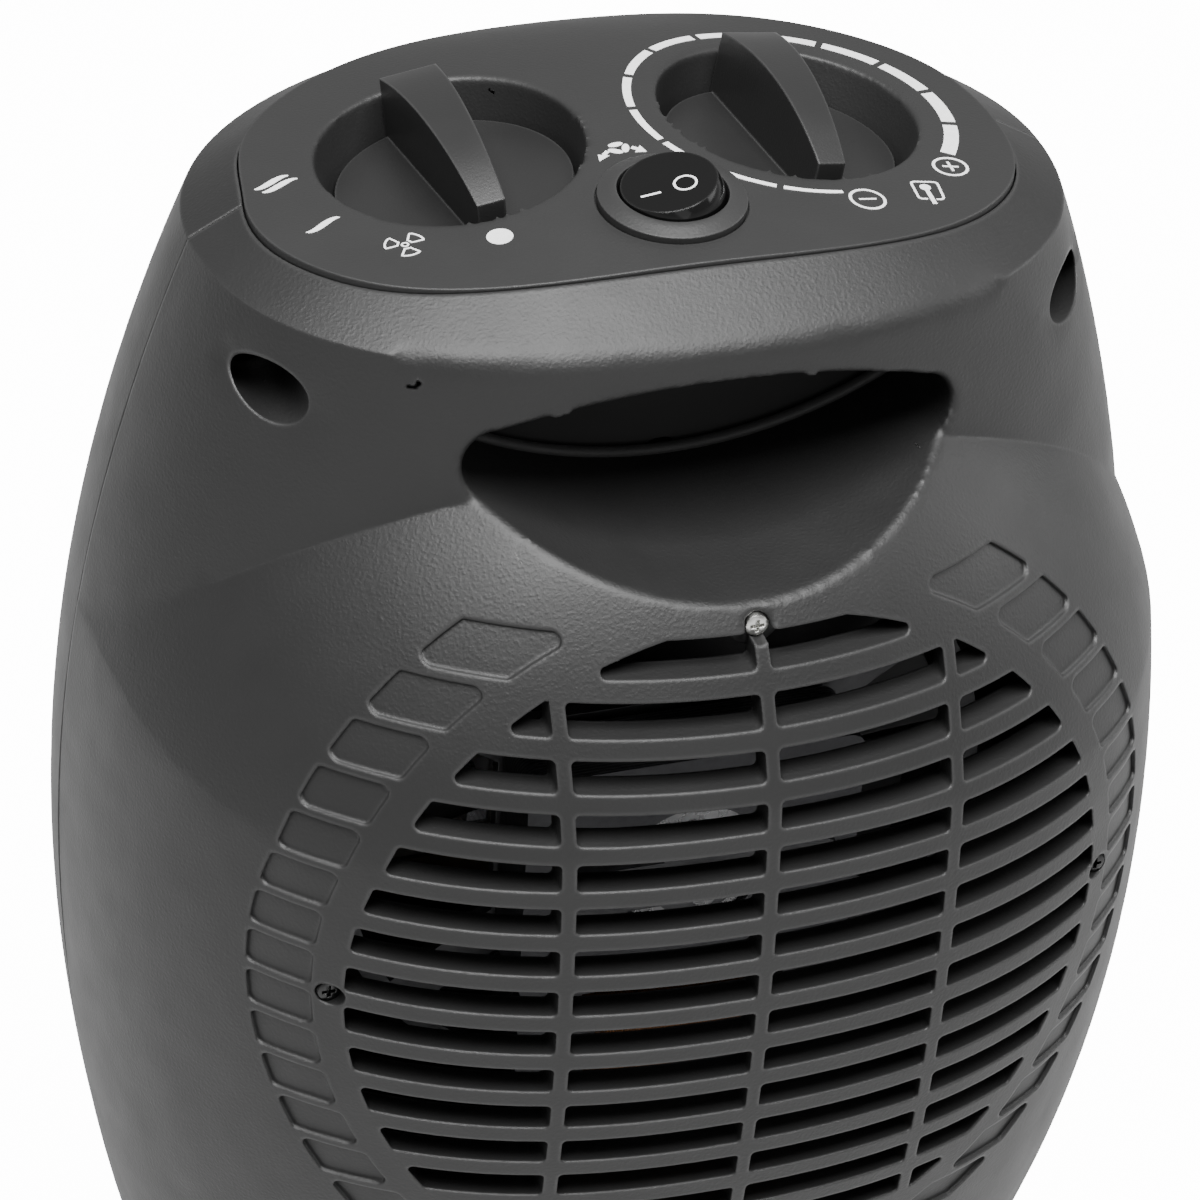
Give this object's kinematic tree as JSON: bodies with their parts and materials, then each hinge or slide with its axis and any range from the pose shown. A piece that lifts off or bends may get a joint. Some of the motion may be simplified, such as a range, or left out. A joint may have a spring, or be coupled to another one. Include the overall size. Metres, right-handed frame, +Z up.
{
  "type": "ceramic heater",
  "caption": "Oscillating ceramic fan heater: round-cornered head on a swivel base, with a grip at the back, two turning knobs and a rocker switch.",
  "frame": {"origin": "on the floor, in the middle of the bounding box, which is also the swivel axis", "axes": "+Z up; -Y towards the warm air outlet, +Y towards the intake grille and the grip; +X to the right seen from the front"},
  "size_m": [0.1901, 0.1612, 0.2635],
  "materials": {
    "housing": "fine texture",
    "housing_base": "fine texture",
    "grip_liner": "smooth",
    "outlet": "fine texture",
    "panel": "fine texture",
    "knobs": "satin",
    "shaft_plastic": "natural",
    "rocker_case": "semi-gloss",
    "rocker_button": "semi-gloss",
    "switch_body": "phenolic",
    "inner_plastic": "satin",
    "galvanised": "galvanised",
    "laminations": "stacked sheet",
    "coil": "varnished wire",
    "steel": "turned",
    "fan_plastic": "satin",
    "element_frame": "moulded phenolic",
    "ceramic_bars": null,
    "aluminium_fins": "rolled",
    "cutout_body": "phenolic",
    "fuse": "coated",
    "arm_plastic": "acetal",
    "base_plate": "moulded",
    "feet": "matt",
    "black_screws": "blackened",
    "zinc_screws": "zinc plated",
    "glide": "acetal",
    "gear_motor": "zinc plated"
  },
  "bodies": {
    "base": {"base_cover": "housing_base", "base_plate": "base_plate", "rubber_feet": "feet", "base_screws": "black_screws", "gear_motor": "gear_motor", "gear_motor_screws": "zinc_screws", "glide_ring": "glide"},
    "crank": {"crank_disc": "arm_plastic", "crank_roller": "arm_plastic"},
    "head": {"rear_shell": "housing", "grip_backplate": "grip_liner", "shroud_screws": "black_screws", "front_shell": "housing", "shell_screws": "zinc_screws", "front_grille": "outlet", "control_panel": "panel", "rocker_case": "rocker_case", "function_switch": "switch_body", "thermostat_switch": "switch_body", "fan_shroud": "inner_plastic", "motor_mount": "galvanised", "motor_core": "laminations", "motor_coil": "coil", "motor_bridges": "galvanised", "heater_frame": "element_frame", "heating_bars": "ceramic_bars", "heating_fins": "aluminium_fins", "air_duct": "galvanised", "thermal_cutout": "cutout_body", "thermal_fuse": "fuse", "swivel_neck": "inner_plastic", "neck_screws": "zinc_screws", "drive_arm": "arm_plastic"},
    "fan": {"fan_shaft": "steel", "fan_impeller": "fan_plastic"},
    "function_dial": {"function_knob": "knobs", "function_shaft": "shaft_plastic"},
    "thermostat_dial": {"thermostat_knob": "knobs", "thermostat_shaft": "shaft_plastic"},
    "rocker": {"rocker_button": "rocker_button"}
  },
  "joints": [
    {"name": "head_swing", "type": "hinge", "parent": "base", "child": "head", "pos_m": [0, 0, 0.04], "axis": [0, 0, 1], "range_deg": [-25, 25]},
    {"name": "crank_turn", "type": "hinge", "parent": "base", "child": "crank", "pos_m": [0, 0.033, 0.024], "axis": [0, 0, 1], "range_deg": [-81.5, 81.5]},
    {"name": "fan_spin", "type": "hinge", "parent": "head", "child": "fan", "pos_m": [0, 0.017, 0.148], "axis": [0, 1, 0], "continuous": true},
    {"name": "function_turn", "type": "hinge", "parent": "head", "child": "function_dial", "pos_m": [0.0286, -0.0111, 0.25697], "axis": [0.1305, 0, 0.9914], "range_deg": [-94, 0]},
    {"name": "thermostat_turn", "type": "hinge", "parent": "head", "child": "thermostat_dial", "pos_m": [-0.0286, -0.0111, 0.25697], "axis": [-0.1305, 0, 0.9914], "range_deg": [-305, 0]},
    {"name": "rocker_tilt", "type": "hinge", "parent": "head", "child": "rocker", "pos_m": [0, 0.01448, 0.25795], "axis": [0, 0.9976, -0.0698], "range_deg": [-24, 0]}
  ],
  "couplings": [
    {"joint": "crank_turn", "follows": "head_swing", "ratio": 3.25}
  ]
}
